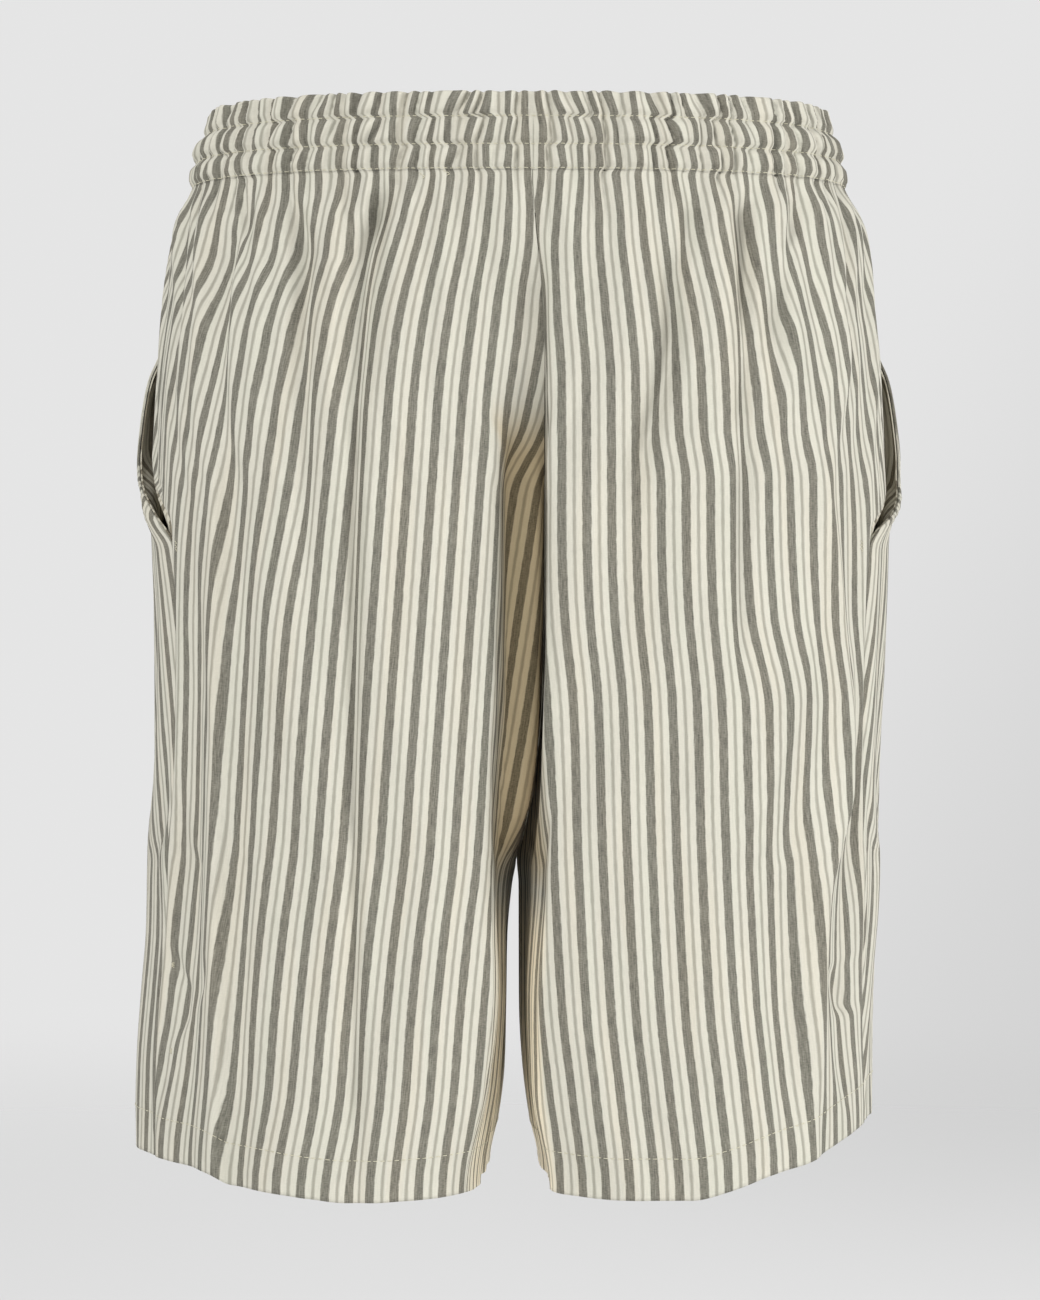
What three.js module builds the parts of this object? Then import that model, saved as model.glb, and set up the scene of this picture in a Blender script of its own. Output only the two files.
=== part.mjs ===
// Striped bermuda shorts with an elastic waist and wide legs, standing open as if worn.
// Millimetres, +Z up. The origin is the middle of the waistband, half way up it.
// The back of the shorts faces -Y, and the wearer's left leg is on the -X side.
// Four panels hang from the puckered waistband. Each is one cloth wall, drawn as a section
// curve that changes with height, so that its gathers, folds and hem follow from the tables.
import * as THREE from 'three';

const RIM_Z = 17.5; // top of the waistband
const BAND_Z = -17.5; // the waistband's lower edge, where the panels start
const CROTCH_Z = -338; // where the four panels meet
const HEM_Z = -485; // lowest point of the hems
const HEM_DEPTH = 18.5;
const SEAM = 0.3; // gap between two pieces that are sewn together
const WALL = 1.2; // one layer of cloth as drawn
const HEM_WALL = 2.4; // the hem is turned up inside
const BAND_WALL = 3; // gathered cloth on both sides of the elastic
const LEG_X = 77; // the straight grain line down the middle of each leg
const SIDE_Y = 5; // where each side is widest
const PUCKERS = 15; // in each quarter of the waist
const WAIST_SQUARE = 2.6; // squareness of the waist's oval, 2 is an ellipse
const LEG_SQUARE = 2.3;

// How far from the middle (|x|) and where (y) the cloth runs at each height.
// side: widest point. back, front: depth at the grain line. seam: y of the side seam.
// innerB, innerF: |x| where the back and front panels start. valleyB, valleyF: y there.
// crease: squareness of the back panel's inner corner.
const COLUMNS = ['z', 'side', 'back', 'front', 'seam', 'innerB', 'innerF', 'valleyB', 'valleyF',
  'crease'];
const LEFT = [
  [17.5, 149.5, -98, 96, -5, -10, 0, -92, 92, 3.4],
  [0, 154.5, -99.5, 97, -5, -10, 0, -92, 92, 3.4],
  [-17.5, 157, -101, 98, -5, -10, 0, -94, 92, 3.4],
  [-40, 165.8, -106, 100, -6, -11, 0, -98, 94, 3.4],
  [-70, 170.6, -112, 103, -7, -12, 0, -97, 95, 3.5],
  [-100, 173, -116.5, 105, -9, -12.2, 0, -93, 93, 3.6],
  [-143, 174, -120, 106, -14, -12.2, 0, -86, 89, 3.6],
  [-180, 175, -121, 106, -46, -12.2, 0, -80, 83, 3.6],
  [-215, 174, -120, 105, -48, -12, 0, -72, 75, 3.6],
  [-260, 173.6, -118, 103, -50, -11, 0.2, -56, 56, 3.6],
  [-300, 174, -115, 102, -50, -7, 0.4, -35, 33, 3.7],
  [-325, 175.3, -113, 101, -48, -2.4, 0.6, -15, 11, 3.9],
  [-338, 175.6, -112.5, 101, -46, 0.85, 0.85, -3.15, -2.85, 4],
  [-350, 175.8, -112, 100.5, -46, 2.8, 2.8, -3.15, -2.85, 4],
  [-375, 176.3, -112, 100, -46, 5, 5, -3.15, -2.85, 4],
  [-410, 178.8, -112, 100, -48, 5.6, 5.6, -3.15, -2.85, 4],
  [-440, 181, -112, 100, -50, 6.4, 6.4, -3.15, -2.85, 3.8],
  [-462, 182, -111, 100, -52, 9, 9, -3.15, -2.85, 3.6],
  [-485, 182.4, -110, 100, -53, 13.4, 13.4, -3.15, -2.85, 3.4],
];
const RIGHT = [
  [17.5, 149.3, -98, 96, -5, 10.3, 0.3, -92, 92, 4.5],
  [0, 154, -99.5, 97, -5, 10.3, 0.3, -92, 92, 4.5],
  [-17.5, 158, -101, 98, -5, 10.3, 0.3, -94, 92, 4.5],
  [-40, 166, -106, 100, -6, 11.3, 0.3, -98, 94, 4.5],
  [-70, 170.9, -112, 103, -8, 12.3, 0.3, -97, 95, 5],
  [-100, 173.3, -116.5, 105, -12, 12.5, 0.3, -93, 93, 5.4],
  [-143, 174.6, -120.5, 106, -16, 12.5, 0.3, -86, 89, 5.6],
  [-180, 176.6, -121.5, 106, -42, 12.5, 0.3, -80, 83, 5.6],
  [-215, 176, -120.5, 105, -40, 12.3, 0.3, -72, 75, 5.6],
  [-260, 174, -119, 103, -36, 11.3, 0.1, -56, 56, 5.6],
  [-300, 172, -117, 102, -34, 7.3, -0.1, -35, 33, 5.4],
  [-325, 171.8, -116, 101, -33, 2.7, -0.3, -15, 11, 5],
  [-338, 172.2, -115, 101, -32, -0.55, -0.55, -3.15, -2.85, 4.8],
  [-350, 172.3, -114, 100.5, -32, 0.3, 0.3, -3.15, -2.85, 4.8],
  [-375, 171.8, -113, 100, -32, 0.4, 0.4, -3.15, -2.85, 4.8],
  [-410, 170, -113, 100, -32, 0.6, 0.6, -3.15, -2.85, 4.8],
  [-440, 168.9, -112, 100, -32, 2.2, 2.2, -3.15, -2.85, 4.6],
  [-462, 168.6, -111, 100, -32, 5, 5, -3.15, -2.85, 4.2],
  [-485, 168.4, -110, 100, -32, 9.6, 9.6, -3.15, -2.85, 3.8],
];

// The largest folds: |x| of the crease, its half width and how far it sinks, by height.
// A negative sink is a ridge.
const FOLDS = {
  back_left: [
    [[-20, 55, 6, 1.4], [-34, 62, 7, 6.8], [-60, 67, 8, 6.8], [-120, 71, 8, 5.4],
      [-230, 74, 7, 3.4], [-330, 73, 7, 2.7], [-440, 72, 8, 2.7], [-485, 72, 9, 1.4]],
    [[-20, 101, 6, 1.4], [-40, 97, 7, 4.7], [-75, 94, 7, 4.1], [-160, 94, 8, 3.4],
      [-230, 97, 9, 0]],
    [[-20, 127, 6, 1.4], [-45, 134, 6, 4.7], [-75, 136, 6, 4.1], [-130, 127, 8, 3.4],
      [-230, 126, 9, 3.4], [-330, 126, 9, 4.1], [-440, 127, 9, 4.7], [-485, 128, 9, 4.1]],
    [[-120, 137, 7, 0], [-210, 137, 7, -3.4], [-330, 137, 7, -4.1], [-485, 137, 7, -5.4]],
    [[-200, 150, 8, 0], [-300, 151, 9, 4.1], [-400, 153, 9, 5.4], [-485, 155, 9, 4.1]],
  ],
  back_right: [
    [[-20, 108, 6, 1.4], [-36, 105, 7, 5.4], [-66, 105, 7, 5.4], [-140, 102, 7, 4.1],
      [-220, 100, 7, 3.4], [-270, 99, 8, 0]],
    [[-24, 78, 8, 1.4], [-60, 75, 10, 4.7], [-88, 69, 12, 5.4], [-134, 59, 13, 4.7],
      [-165, 50, 14, 0]],
    [[-24, 129, 6, 1.4], [-56, 123, 7, 4.7], [-86, 117, 8, 4.1], [-125, 114, 8, 0]],
    [[-90, 130, 9, 0], [-190, 143, 8, -4.1], [-300, 148, 7, -4.7], [-365, 138, 8, -4.7],
      [-485, 136, 8, -4.1]],
    [[-180, 154, 7, 0], [-290, 159, 7, 5.4], [-370, 152, 8, 5.4], [-440, 150, 8, 4.1],
      [-485, 148, 8, 2.7]],
    [[-230, 122, 9, 0], [-320, 124, 9, 3.4], [-400, 122, 9, 3.4], [-485, 121, 9, 2]],
  ],
  front_left: [
    [[-24, 40, 7, 1.4], [-60, 44, 8, 5.4], [-130, 48, 9, 4.1], [-200, 50, 10, 0]],
    [[-24, 88, 7, 1.4], [-60, 85, 8, 5.4], [-150, 80, 9, 4.1], [-300, 78, 10, 2.7],
      [-485, 78, 10, 2.7]],
    [[-24, 126, 7, 1.4], [-60, 122, 8, 4.7], [-150, 118, 9, 3.4], [-230, 116, 10, 0]],
    [[-230, 130, 10, 0], [-330, 132, 10, 4.1], [-485, 134, 10, 4.1]],
  ],
  front_right: [
    [[-24, 44, 7, 1.4], [-60, 41, 8, 4.7], [-130, 38, 9, 4.1], [-190, 36, 10, 0]],
    [[-24, 92, 7, 1.4], [-60, 95, 8, 5.4], [-150, 97, 9, 4.1], [-300, 94, 10, 3.4],
      [-485, 92, 10, 2.7]],
    [[-24, 130, 7, 1.4], [-60, 127, 8, 4.7], [-140, 124, 9, 2.7], [-220, 122, 10, 0]],
    [[-250, 60, 11, 0], [-360, 58, 11, 3.4], [-485, 56, 11, 3.4]],
  ],
};

// How far the front panel's pocket edge bows outward, by height.
const POCKET_BOW = [[-92, 0], [-107, 5.2], [-117, 7.2], [-131, 8.8], [-143, 9.5], [-155, 7.6],
  [-165, 5], [-175, 2.8], [-184, 0.4], [-190, 0]];
// How far the hem rises above its lowest point, by |x|.
const HEM_LIFT = {
  back_left: [[0, 4], [20, 3], [45, 1], [77, 0], [94, 1.5], [112, 4], [131, 6], [140, 10.5],
    [160, 13], [183, 15]],
  back_right: [[0, 4], [20, 2.5], [45, 1], [77, 1], [96, 5], [114, 11], [134, 16], [144, 20],
    [155, 25], [170, 29]],
  front_left: [[0, 4], [30, 4], [77, 5], [130, 9], [183, 15]],
  front_right: [[0, 4], [30, 4], [77, 6], [130, 16], [170, 29]],
};

const smooth = (a, b, x) => {
  const t = Math.min(1, Math.max(0, (x - a) / (b - a)));
  return t * t * (3 - 2 * t);
};

// Reads column k of rows that are sorted by their first number, with a smooth curve between.
function read(rows, at, k) {
  const down = rows[0][0] > rows[1][0] ? -1 : 1;
  let i = 0;
  while (i < rows.length - 2 && (at - rows[i + 1][0]) * down > 0) i += 1;
  const [x0, x1] = [rows[i][0], rows[i + 1][0]];
  const u = Math.min(1, Math.max(0, (at - x0) / (x1 - x0)));
  const slope = (j) => {
    const [p, q] = [rows[Math.max(0, j - 1)], rows[Math.min(rows.length - 1, j + 1)]];
    const [left, right] = [rows[j][k] - p[k], q[k] - rows[j][k]];
    if (left * right <= 0) return 0;
    const mean = (q[k] - p[k]) / (q[0] - p[0]);
    const most = 2 * Math.min(Math.abs(left / (rows[j][0] - p[0])),
      Math.abs(right / (q[0] - rows[j][0])));
    return Math.sign(mean) * Math.min(Math.abs(mean), most) * (x1 - x0);
  };
  const [a, b, u2, u3] = [rows[i][k], rows[i + 1][k], u * u, u * u * u];
  return a * (2 * u3 - 3 * u2 + 1) + b * (3 * u2 - 2 * u3)
    + slope(i) * (u3 - 2 * u2 + u) + slope(i + 1) * (u3 - u2);
}

// Points of a rounded oval about (cx, cy) between two angles in degrees.
function arc(cx, cy, a, b, square, from, to, steps) {
  return Array.from({ length: steps + 1 }, (_, i) => {
    const w = ((from + ((to - from) * i) / steps) * Math.PI) / 180;
    const r = ((Math.abs(Math.cos(w)) / a) ** square
      + (Math.abs(Math.sin(w)) / b) ** square) ** (-1 / square);
    return [cx + r * Math.cos(w), cy + r * Math.sin(w)];
  });
}

// Keeps a curve's points up to where it first crosses y.
function until(points, y) {
  const side = Math.sign(points[0][1] - y);
  const i = points.findIndex((p) => Math.sign(p[1] - y) !== side);
  if (i < 1) return points;
  const [p, q] = [points[i - 1], points[i]];
  const u = (y - p[1]) / (q[1] - p[1]);
  return [...points.slice(0, i), [p[0] + (q[0] - p[0]) * u, y]];
}

// A curve with its length, read by the share of that length.
function curve(points) {
  const length = [0];
  for (let i = 1; i < points.length; i += 1) {
    const [p, q] = [points[i - 1], points[i]];
    length.push(length[i - 1] + Math.hypot(q[0] - p[0], q[1] - p[1]));
  }
  const total = length[length.length - 1];
  const at = (share) => {
    const s = share * total;
    let i = 1;
    while (i < points.length - 1 && length[i] < s) i += 1;
    const u = (s - length[i - 1]) / (length[i] - length[i - 1] || 1);
    return [0, 1].map((k) => points[i - 1][k] + (points[i][k] - points[i - 1][k]) * u);
  };
  return { at, total };
}

// The section of one panel at a height: the waist's oval, which turns into the leg's shape
// with the deep fold at the seat seam and at the front seam.
const sections = new Map();
function section(name, z) {
  const key = `${name} ${z}`;
  if (sections.has(key)) return sections.get(key);
  const rows = name.endsWith('left') ? LEFT : RIGHT;
  const v = Object.fromEntries(COLUMNS.map((c, k) => [c, k ? read(rows, z, k) : z]));
  const back = name.startsWith('back');
  const [inner, depth, valley] = back ? [v.innerB, v.back, v.valleyB]
    : [v.innerF, v.front, v.valleyF];
  const turn = back ? -1 : 1;
  const start = (Math.acos(inner / v.side) * 180) / Math.PI;
  const oval = (to) => arc(0, 0, v.side, Math.abs(depth), WAIST_SQUARE, turn * start, to, 72);
  const corner = arc(LEG_X, valley, LEG_X - inner, Math.max(1, Math.abs(depth - valley)),
    back ? v.crease : 3.2, 180, 180 - turn * 90, 40).slice(0, -1);
  const leg = arc(LEG_X, SIDE_Y, v.side - LEG_X, Math.abs(depth - SIDE_Y), LEG_SQUARE,
    turn * 90, 0, 40);
  // The side seam lies a little behind the widest point, so the front panel reaches round.
  const ovalBehind = back ? [] : arc(0, 0, v.side, Math.abs(v.back), WAIST_SQUARE, -0.5, -30, 20);
  const legBehind = back ? [] : arc(LEG_X, SIDE_Y, v.side - LEG_X, Math.abs(v.back - SIDE_Y),
    LEG_SQUARE, -2, -60, 30);
  const round = until([...oval(0), ...ovalBehind], v.seam);
  const low = [...corner, ...until([...leg, ...legBehind], v.seam)];
  const made = { round: curve(round), low: curve(low), mix: smooth(BAND_Z, -100, z) };
  sections.set(key, made);
  return made;
}

// Where the section runs before gathers and folds, as [|x|, y], at a share of its length.
function plain(name, share, z) {
  const { round, low, mix } = section(name, z);
  const [p, q] = [round.at(share), low.at(share)];
  return [0, 1].map((k) => p[k] * (1 - mix) + q[k] * mix);
}

// The puckers of the waist and the gathers below it, in millimetres outward. The elastic's
// stitch rows hold them flatter, and they lean a little differently in each channel.
const ROWS = [7, -5.9, BAND_Z];
const UNEVEN = { back_left: 0.4, back_right: 2.1, front_left: 3.7, front_right: 5.2 };
const WAY = { back_left: 1, back_right: -1, front_left: -1, front_right: 1 };
function gathers(name, share, z, calm) {
  const u = UNEVEN[name];
  const turn = 2 * Math.PI * share;
  const lean = 0.35 * Math.sin(Math.PI * share) * Math.cos((z - 2) / 7 + u);
  const wave = Math.sin(PUCKERS * turn + 0.9 * Math.sin(turn * 2) * Math.sin(u) + lean * 2)
    * (1 + 0.35 * Math.sin(turn * 3.3 + u) * Math.sin(Math.PI * share));
  const soft = Math.sin(6 * turn + 1.1 * Math.sin(turn + 0) * Math.cos(u))
    * (1 + 0.4 * Math.sin(turn * 2.3 + 2 * u) * Math.sin(Math.PI * share));
  const held = ROWS.reduce((m, r) => Math.max(m, Math.exp(-(((z - r) / 3.2) ** 2))), 0);
  const below = Math.min(0, z - BAND_Z);
  const fine = z > BAND_Z ? 1.7 - 0.4 * held : 1.5 * Math.exp(-((below / 24) ** 2));
  const puff = z > BAND_Z ? 1.1 * (1 - held) : 0;
  const swell = 1.6 * smooth(0, -14, below) * smooth(-70, -14, below);
  const large = 1.5 * smooth(0, -22, below) * smooth(-120, -45, below);
  return WAY[name] * fine * wave + puff + calm * (swell + large * soft);
}

// The folds of a panel at |x|, in millimetres outward.
function folds(name, x, z) {
  return FOLDS[name].reduce((sum, rows) => {
    if (z > rows[0][0] || z < rows[rows.length - 1][0]) return sum;
    const [at, wide, sink] = [1, 2, 3].map((k) => read(rows, z, k));
    return sum - sink * Math.exp(-(((x - at) / wide) ** 2));
  }, 0);
}

// A point of the cloth's outer face, at a share of the way from the middle seam to the side
// seam and at the height that the row has before the hem's rise.
function face(name, share, z) {
  const sign = name.endsWith('left') ? -1 : 1;
  const { round, low, mix } = section(name, z);
  const length = round.total * (1 - mix) + low.total * mix;
  const trim = SEAM / 2 / length;
  const s = trim + share * (1 - 2 * trim);
  const h = 0.002;
  const [a, b] = [plain(name, Math.max(0, s - h), z), plain(name, Math.min(1, s + h), z)];
  const long = Math.hypot(b[0] - a[0], b[1] - a[1]) || 1;
  const turn = name.startsWith('back') ? 1 : -1;
  const out = [(turn * (b[1] - a[1])) / long, (-turn * (b[0] - a[0])) / long];
  const p = plain(name, s, z);
  const calm = smooth(0, 9 + 24 * mix, s * length) * smooth(0, 9, (1 - s) * length);
  const off = gathers(name, s, z, calm) + (z < BAND_Z ? folds(name, p[0], z) * calm : 0);
  let [x, y] = [p[0] + out[0] * off, p[1] + out[1] * off];
  if (name.startsWith('front') && z < POCKET_BOW[0][0] && z > -190) {
    const bow = read(POCKET_BOW, z, 1);
    const from = (1 - s) * length;
    x += bow * Math.exp(-((from / 30) ** 2));
    y += 1.2 * bow * Math.exp(-((from / 20) ** 2));
  }
  const rise = read(HEM_LIFT[name], Math.max(0, p[0]), 1) * smooth(-300, -450, z);
  return new THREE.Vector3(sign * x, y, z + rise);
}

// The same point moved inward through the wall.
function lining(name, share, z, wall, low = HEM_Z) {
  const [h, k] = [0.004, 1.5];
  const across = face(name, Math.min(1, share + h), z).sub(face(name, Math.max(0, share - h), z));
  const up = face(name, share, Math.min(RIM_Z, z + k)).sub(face(name, share, Math.max(low, z - k)));
  const normal = across.cross(up).normalize();
  const inward = (name === 'back_left' || name === 'front_right') ? 1 : -1;
  return face(name, share, z).addScaledVector(normal, inward * wall);
}

// Gathers triangles by vertex numbers, and makes a mesh of them.
function solid(name, colour) {
  const [points, faces] = [[], []];
  const add = (p) => points.push(p) - 1;
  // Joins two rows of vertices that may differ in number. shares say where each one lies.
  const join = (a, b, sharesA, sharesB, flip) => {
    let [i, j] = [0, 0];
    while (i < a.length - 1 || j < b.length - 1) {
      const stepA = j === b.length - 1
        || (i < a.length - 1 && sharesA[i + 1] + sharesA[i] <= sharesB[j + 1] + sharesB[j]);
      const tri = stepA ? [a[i], a[i + 1], b[j]] : [b[j], a[i], b[j + 1]];
      faces.push(flip ? [tri[0], tri[2], tri[1]] : tri);
      if (stepA) i += 1; else j += 1;
    }
  };
  const mesh = () => {
    const geometry = new THREE.BufferGeometry();
    geometry.setAttribute('position', new THREE.Float32BufferAttribute(
      points.flatMap((p) => [p.x, p.y, p.z]), 3));
    geometry.setIndex(faces.flat());
    geometry.computeVertexNormals();
    const made = new THREE.Mesh(geometry, new THREE.MeshStandardMaterial({
      color: colour, roughness: 0.9, metalness: 0 }));
    made.name = name;
    return made;
  };
  return { add, join, mesh };
}

// Columns lie closer together near a panel's two seams, where it turns most.
const closer = (u) => u - 0.05 * Math.sin(2 * Math.PI * u);
const even = (n) => Array.from({ length: n + 1 }, (_, i) => i / n);

// The heights of a panel's rows. The first rows have four columns to a pucker.
const TOP_ROWS = [BAND_Z - SEAM, -28];
const HEM_TOP = HEM_Z + HEM_DEPTH;
const LOW_ROWS = [-41, -56, -74, -92, -107, -122, -143, -160, -182, -205, -232, -262, -290, -310,
  -325, CROTCH_Z, -352, -375, -405, -436, HEM_TOP + 1.2, HEM_TOP - 1.2, HEM_Z];

function panel(name, columns, colour) {
  const part = solid(name, colour);
  const rows = [
    ...TOP_ROWS.map((z) => ({ z, shares: even(4 * PUCKERS) })),
    ...LOW_ROWS.map((z) => ({ z, shares: even(columns).map(closer) })),
  ];
  for (const row of rows) {
    const wall = row.z < HEM_TOP ? HEM_WALL : WALL;
    row.outer = row.shares.map((s) => part.add(face(name, s, row.z)));
    row.inner = row.shares.map((s) => part.add(lining(name, s, row.z, wall)));
  }
  const flip = name === 'back_left' || name === 'front_right';
  rows.slice(1).forEach((row, i) => {
    const above = rows[i];
    part.join(above.outer, row.outer, above.shares, row.shares, !flip);
    part.join(above.inner, row.inner, above.shares, row.shares, flip);
  });
  for (const [k, turned] of [[0, flip], [-1, !flip]]) {
    const outer = rows.map((r) => r.outer.at(k));
    const inner = rows.map((r) => r.inner.at(k));
    const along = even(rows.length - 1);
    part.join(inner, outer, along, along, turned);
  }
  const [top, hem] = [rows[0], rows[rows.length - 1]];
  part.join(top.inner, top.outer, top.shares, top.shares, !flip);
  part.join(hem.outer, hem.inner, hem.shares, hem.shares, !flip);
  return part.mesh();
}

// The waistband runs once round, quarter by quarter: its outer face has the three channels of
// the elastic, and its inner face follows the puckers more flatly.
function waistband(colour) {
  const part = solid('waistband', colour);
  const quarters = [['back_left', true], ['back_right', false], ['front_right', true],
    ['front_left', false]];
  const spots = quarters.flatMap(([name, backwards]) => {
    const shares = even(4 * PUCKERS).slice(0, -1);
    return shares.map((s) => [name, backwards ? 1 - s : s]);
  });
  const heights = [RIM_Z, 12.4, ROWS[0], 0.5, ROWS[1], -11.7, BAND_Z];
  const ring = (z, inward) => spots.map(([name, share]) => {
    const outside = face(name, share, z);
    if (!inward) return part.add(outside);
    const flat = gathers(name, share, z, 1);
    return part.add(lining(name, share, z, BAND_WALL + 0.45 * flat).setZ(outside.z));
  });
  const close = (r) => [...r, r[0]];
  const outer = heights.map((z) => close(ring(z, false)));
  const inner = [RIM_Z, BAND_Z].map((z) => close(ring(z, true)));
  const along = even(spots.length);
  outer.slice(1).forEach((row, i) => part.join(outer[i], row, along, along, true));
  part.join(inner[0], inner[1], along, along, false);
  part.join(inner[0], outer[0], along, along, true);
  part.join(outer[outer.length - 1], inner[1], along, along, true);
  return part.mesh();
}

// A side pocket has two layers, sewn together round their edges. The bag lies inside the front
// panel and starts at its edge. The facing starts inside the back panel's edge, and the pocket's
// mouth is the gap between them in the side seam.
// forward: distance from the side seam. top, bottom: height there. apart: room inside the pocket.
const BAG = [
  [0, -46, -187, 0],
  [12, -48, -204, 12],
  [34, -52, -236, 7],
  [64, -58, -256, 4.5],
  [92, -68, -252, 3.2],
  [108, -92, -236, 2.4],
];
const BAG_WALL = 1;
const BEHIND = 0.6; // from a panel's inner face to the pocket
const MOUTH = [-46, -56, -74, -92, -107, -122, -143, -160, -182, -187];
function pocket(name, front, back, facing, colour) {
  const part = solid(name, colour);
  const steps = MOUTH.map((z) => (z - MOUTH[0]) / (MOUTH.at(-1) - MOUTH[0]));
  const skin = (more) => BAG.map(([forward, top, bottom, apart]) => steps.map((u) => {
    const z = top + (bottom - top) * u;
    const { round, low, mix } = section(front, z);
    const share = 1 - forward / (round.total * (1 - mix) + low.total * mix);
    const deep = WALL + BEHIND + 2 * smooth(0, 30, forward) + more;
    if (!facing) return part.add(lining(front, share, z, deep));
    const open = smooth(0, 0.2, Math.min(u, 1 - u));
    const room = Math.max(BAG_WALL + SEAM, (apart - BAG_WALL) * open);
    if (forward) return part.add(lining(front, share, z, deep + room));
    const gape = smooth(0, 5, read(POCKET_BOW, z, 1));
    const edge = lining(back, 1, z, WALL + BEHIND + more + (BAG_WALL + SEAM) * (1 - gape));
    return part.add(edge.setY(edge.y + 1.2));
  }));
  const [near, far] = [skin(0), skin(BAG_WALL)];
  const flip = name.startsWith('pocket_right');
  const across = even(BAG.length - 1);
  near.slice(1).forEach((row, i) => part.join(near[i], row, steps, steps, !flip));
  far.slice(1).forEach((row, i) => part.join(far[i], row, steps, steps, flip));
  part.join(far[0], near[0], steps, steps, !flip);
  part.join(near.at(-1), far.at(-1), steps, steps, !flip);
  for (const [k, turned] of [[0, flip], [-1, !flip]]) {
    part.join(far.map((r) => r.at(k)), near.map((r) => r.at(k)), across, across, turned);
  }
  return part.mesh();
}

const STRIPED = 0xc4c1b2; // the mean of the cream cloth and its grey-olive stripes
const SHADED = 0xb0aa98;
export const shorts = new THREE.Group();
shorts.name = 'bermuda_shorts';
shorts.add(waistband(STRIPED));
shorts.add(panel('back_left', 34, STRIPED));
shorts.add(panel('back_right', 34, STRIPED));
shorts.add(panel('front_left', 20, STRIPED));
shorts.add(panel('front_right', 20, STRIPED));
for (const side of ['left', 'right']) {
  const [front, back] = [`front_${side}`, `back_${side}`];
  shorts.add(pocket(`pocket_${side}`, front, back, false, SHADED));
  shorts.add(pocket(`pocket_${side}_facing`, front, back, true, SHADED));
}

export default shorts;
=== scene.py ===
import math

import bmesh
import bpy
import numpy as np

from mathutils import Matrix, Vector


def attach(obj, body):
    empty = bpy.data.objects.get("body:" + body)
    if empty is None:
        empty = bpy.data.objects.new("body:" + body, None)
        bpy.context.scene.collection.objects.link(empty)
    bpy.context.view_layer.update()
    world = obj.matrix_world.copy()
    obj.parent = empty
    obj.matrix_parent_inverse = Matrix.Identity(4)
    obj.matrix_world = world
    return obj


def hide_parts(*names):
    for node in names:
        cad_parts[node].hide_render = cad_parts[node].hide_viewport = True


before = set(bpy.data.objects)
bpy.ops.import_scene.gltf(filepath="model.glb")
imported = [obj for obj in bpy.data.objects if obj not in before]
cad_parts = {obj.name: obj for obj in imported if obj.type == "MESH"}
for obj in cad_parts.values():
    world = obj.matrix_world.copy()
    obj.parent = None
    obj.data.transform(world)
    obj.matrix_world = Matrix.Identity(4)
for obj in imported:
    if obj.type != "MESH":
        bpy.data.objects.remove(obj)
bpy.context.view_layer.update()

# The studio: the shorts stand filled out, the waist 0.95 m above a pale floor that fades into a
# grey backdrop, a little darker at the lower right. The camera looks level at the seat from
# 1.8 m, and the light is soft and wide, most of it from the upper left and from the right.
MM = 0.001
PALE = (0.70, 0.70, 0.70, 1)
FLOOR_Z = -0.95

scene = bpy.context.scene
scene.view_settings.view_transform = "Standard"
world = bpy.data.worlds.new("grey backdrop")
world.use_nodes = True
room, room_links = world.node_tree.nodes, world.node_tree.links
towards = room.new("ShaderNodeTexCoord")
lower_right = room.new("ShaderNodeVectorMath")
lower_right.operation = "DOT_PRODUCT"
lower_right.inputs[1].default_value = (1, 0, -0.6)
darker = room.new("ShaderNodeMapRange")
darker.interpolation_type = "SMOOTHSTEP"
darker.inputs["From Min"].default_value = 0.03
darker.inputs["From Max"].default_value = 0.23
greys = room.new("ShaderNodeValToRGB")
greys.color_ramp.elements[0].color = (0.785, 0.785, 0.785, 1)
greys.color_ramp.elements[1].color = (0.655, 0.655, 0.655, 1)
room_links.new(towards.outputs["Generated"], lower_right.inputs[0])
room_links.new(lower_right.outputs["Value"], darker.inputs["Value"])
room_links.new(darker.outputs["Result"], greys.inputs["Fac"])
room_links.new(greys.outputs["Color"], room["Background"].inputs["Color"])
room["Background"].inputs["Strength"].default_value = 1.0
scene.world = world

floor_form = bmesh.new()
bmesh.ops.create_circle(floor_form, cap_ends=True, radius=6, segments=96)
floor_mesh = bpy.data.meshes.new("floor")
floor_form.to_mesh(floor_mesh)
floor_form.free()
floor = bpy.data.objects.new("floor", floor_mesh)
floor.location.z = FLOOR_Z
scene.collection.objects.link(floor)

paper = bpy.data.materials.new("pale floor that fades out")
paper.use_nodes = True
nodes, links = paper.node_tree.nodes, paper.node_tree.links
nodes["Principled BSDF"].inputs["Base Color"].default_value = PALE
nodes["Principled BSDF"].inputs["Roughness"].default_value = 0.9
place = nodes.new("ShaderNodeTexCoord")
reach = nodes.new("ShaderNodeVectorMath")
reach.operation = "LENGTH"
fade = nodes.new("ShaderNodeMapRange")
fade.inputs["From Min"].default_value = 1.5
fade.inputs["From Max"].default_value = 5.0
fade.interpolation_type = "SMOOTHSTEP"
clear = nodes.new("ShaderNodeBsdfTransparent")
blend = nodes.new("ShaderNodeMixShader")
links.new(place.outputs["Object"], reach.inputs[0])
links.new(reach.outputs["Value"], fade.inputs["Value"])
links.new(fade.outputs["Result"], blend.inputs["Fac"])
links.new(nodes["Principled BSDF"].outputs[0], blend.inputs[1])
links.new(clear.outputs[0], blend.inputs[2])
links.new(blend.outputs[0], nodes["Material Output"].inputs["Surface"])
floor_mesh.materials.append(paper)


def lamp(name, place, aim, size, watts):
    """A round white lamp that the camera doesn't see."""
    light = bpy.data.lights.new(name, "AREA")
    light.shape, light.size, light.energy = "DISK", size, watts
    holder = bpy.data.objects.new(name, light)
    holder.location = place
    holder.rotation_euler = (Vector(aim) - Vector(place)).to_track_quat("-Z", "Y").to_euler()
    holder.visible_camera = False
    scene.collection.objects.link(holder)


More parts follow.
